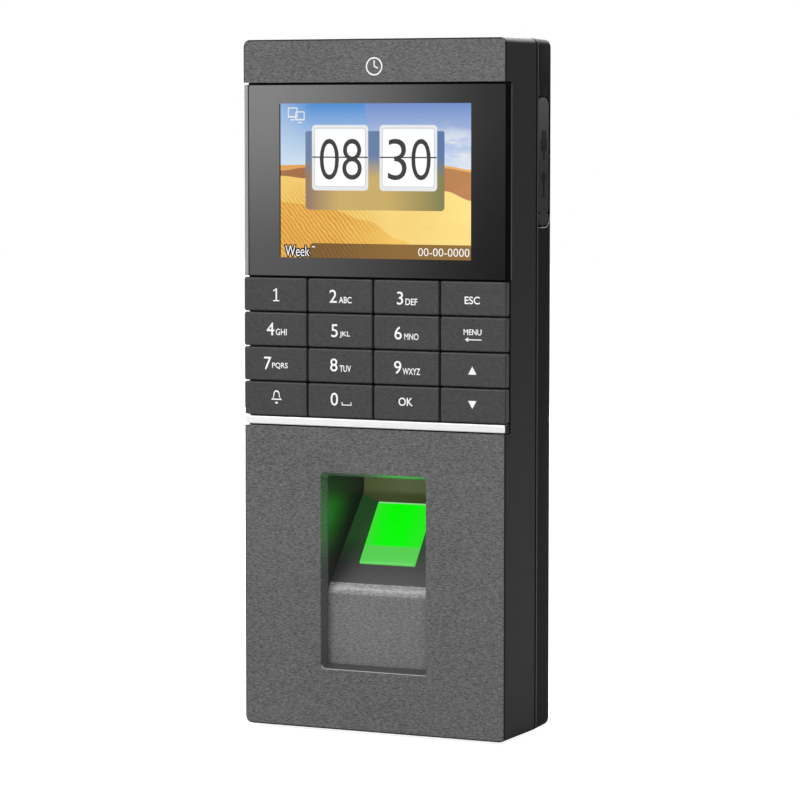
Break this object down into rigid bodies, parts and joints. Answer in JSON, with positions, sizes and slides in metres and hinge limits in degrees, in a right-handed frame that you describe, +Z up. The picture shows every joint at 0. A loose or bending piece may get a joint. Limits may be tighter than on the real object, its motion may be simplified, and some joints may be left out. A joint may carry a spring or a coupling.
{
  "type": "fingerprint scanner terminal",
  "caption": "Wall-mounted time and access terminal with a display window, a flat numeric keypad and a recessed, sloping finger sensor.",
  "frame": {"origin": "centre of the wall plate's back face, where it meets the wall", "axes": "+X to the right as seen from the front, +Y into the wall, +Z up"},
  "size_m": [0.08, 0.034, 0.193],
  "materials": {
    "casing_grey": "fine woven texture",
    "casing_black": "satin",
    "smoked_lens": "polished",
    "chrome_trim": "bright plated",
    "guide_grey": "fine speckle",
    "sensor_glass": "lit green from behind",
    "black_plastic": "moulded",
    "circuit_board": "solder mask",
    "sheet_steel": "zinc plated",
    "display_glass": "polished",
    "silicone": "matt",
    "flat_lead": "smooth",
    "fastener": "blackened",
    "cover_rubber": "matt",
    "key_grey": "fine woven texture"
  },
  "bodies": {
    "wall_bracket": {"wall_plate": "sheet_steel", "lock_screw": "fastener"},
    "terminal": {"front_housing": "casing_grey", "rear_housing": "casing_black", "display_window": "smoked_lens", "trim_strip": "chrome_trim", "finger_guide": "guide_grey", "sensor_prism": "sensor_glass", "sensor_body": "black_plastic", "sensor_board": "circuit_board", "lcd_frame": "sheet_steel", "lcd_panel": "display_glass", "keypad_mat": "silicone", "keypad_board": "circuit_board", "main_board": "circuit_board", "processor_can": "sheet_steel", "coin_cell": "sheet_steel", "speaker": "black_plastic", "display_ribbon": "flat_lead", "sensor_ribbon": "flat_lead", "jack_lead": "flat_lead", "usb_socket": "sheet_steel", "service_socket": "sheet_steel", "power_jack": "black_plastic", "cover_strap": "cover_rubber", "case_screw_1": "fastener", "board_screw_1": "fastener", "case_screw_2": "fastener", "board_screw_2": "fastener", "case_screw_3": "fastener", "board_screw_3": "fastener", "case_screw_4": "fastener", "board_screw_4": "fastener", "guide_screw_1": "fastener", "keypad_screw_1": "fastener", "guide_screw_2": "fastener", "keypad_screw_2": "fastener"},
    "usb_cover": {"usb_cover": "cover_rubber"},
    "key_1": {"key_1": "key_grey"},
    "key_2": {"key_2": "key_grey"},
    "key_3": {"key_3": "key_grey"},
    "key_esc": {"key_esc": "key_grey"},
    "key_4": {"key_4": "key_grey"},
    "key_5": {"key_5": "key_grey"},
    "key_6": {"key_6": "key_grey"},
    "key_menu": {"key_menu": "key_grey"},
    "key_7": {"key_7": "key_grey"},
    "key_8": {"key_8": "key_grey"},
    "key_9": {"key_9": "key_grey"},
    "key_up": {"key_up": "key_grey"},
    "key_bell": {"key_bell": "key_grey"},
    "key_0": {"key_0": "key_grey"},
    "key_ok": {"key_ok": "key_grey"},
    "key_down": {"key_down": "key_grey"}
  },
  "joints": [
    {"name": "terminal_lift", "type": "slide", "parent": "wall_bracket", "child": "terminal", "axis": [0, 0, 1], "range_m": [0, 0.006]},
    {"name": "cover_hinge", "type": "hinge", "parent": "terminal", "child": "usb_cover", "pos_m": [0.0399, -0.0069, 0.0483], "axis": [0, 1, 0], "range_deg": [0, 110], "stiffness_Nm_per_rad": 0.0005},
    {"name": "press_key_1", "type": "slide", "parent": "terminal", "child": "key_1", "axis": [0, 1, 0], "range_m": [0, 0.0005], "stiffness_N_per_m": 600, "springref_m": -0.0005},
    {"name": "press_key_2", "type": "slide", "parent": "terminal", "child": "key_2", "axis": [0, 1, 0], "range_m": [0, 0.0005], "stiffness_N_per_m": 600, "springref_m": -0.0005},
    {"name": "press_key_3", "type": "slide", "parent": "terminal", "child": "key_3", "axis": [0, 1, 0], "range_m": [0, 0.0005], "stiffness_N_per_m": 600, "springref_m": -0.0005},
    {"name": "press_key_esc", "type": "slide", "parent": "terminal", "child": "key_esc", "axis": [0, 1, 0], "range_m": [0, 0.0005], "stiffness_N_per_m": 600, "springref_m": -0.0005},
    {"name": "press_key_4", "type": "slide", "parent": "terminal", "child": "key_4", "axis": [0, 1, 0], "range_m": [0, 0.0005], "stiffness_N_per_m": 600, "springref_m": -0.0005},
    {"name": "press_key_5", "type": "slide", "parent": "terminal", "child": "key_5", "axis": [0, 1, 0], "range_m": [0, 0.0005], "stiffness_N_per_m": 600, "springref_m": -0.0005},
    {"name": "press_key_6", "type": "slide", "parent": "terminal", "child": "key_6", "axis": [0, 1, 0], "range_m": [0, 0.0005], "stiffness_N_per_m": 600, "springref_m": -0.0005},
    {"name": "press_key_menu", "type": "slide", "parent": "terminal", "child": "key_menu", "axis": [0, 1, 0], "range_m": [0, 0.0005], "stiffness_N_per_m": 600, "springref_m": -0.0005},
    {"name": "press_key_7", "type": "slide", "parent": "terminal", "child": "key_7", "axis": [0, 1, 0], "range_m": [0, 0.0005], "stiffness_N_per_m": 600, "springref_m": -0.0005},
    {"name": "press_key_8", "type": "slide", "parent": "terminal", "child": "key_8", "axis": [0, 1, 0], "range_m": [0, 0.0005], "stiffness_N_per_m": 600, "springref_m": -0.0005},
    {"name": "press_key_9", "type": "slide", "parent": "terminal", "child": "key_9", "axis": [0, 1, 0], "range_m": [0, 0.0005], "stiffness_N_per_m": 600, "springref_m": -0.0005},
    {"name": "press_key_up", "type": "slide", "parent": "terminal", "child": "key_up", "axis": [0, 1, 0], "range_m": [0, 0.0005], "stiffness_N_per_m": 600, "springref_m": -0.0005},
    {"name": "press_key_bell", "type": "slide", "parent": "terminal", "child": "key_bell", "axis": [0, 1, 0], "range_m": [0, 0.0005], "stiffness_N_per_m": 600, "springref_m": -0.0005},
    {"name": "press_key_0", "type": "slide", "parent": "terminal", "child": "key_0", "axis": [0, 1, 0], "range_m": [0, 0.0005], "stiffness_N_per_m": 600, "springref_m": -0.0005},
    {"name": "press_key_ok", "type": "slide", "parent": "terminal", "child": "key_ok", "axis": [0, 1, 0], "range_m": [0, 0.0005], "stiffness_N_per_m": 600, "springref_m": -0.0005},
    {"name": "press_key_down", "type": "slide", "parent": "terminal", "child": "key_down", "axis": [0, 1, 0], "range_m": [0, 0.0005], "stiffness_N_per_m": 600, "springref_m": -0.0005}
  ]
}
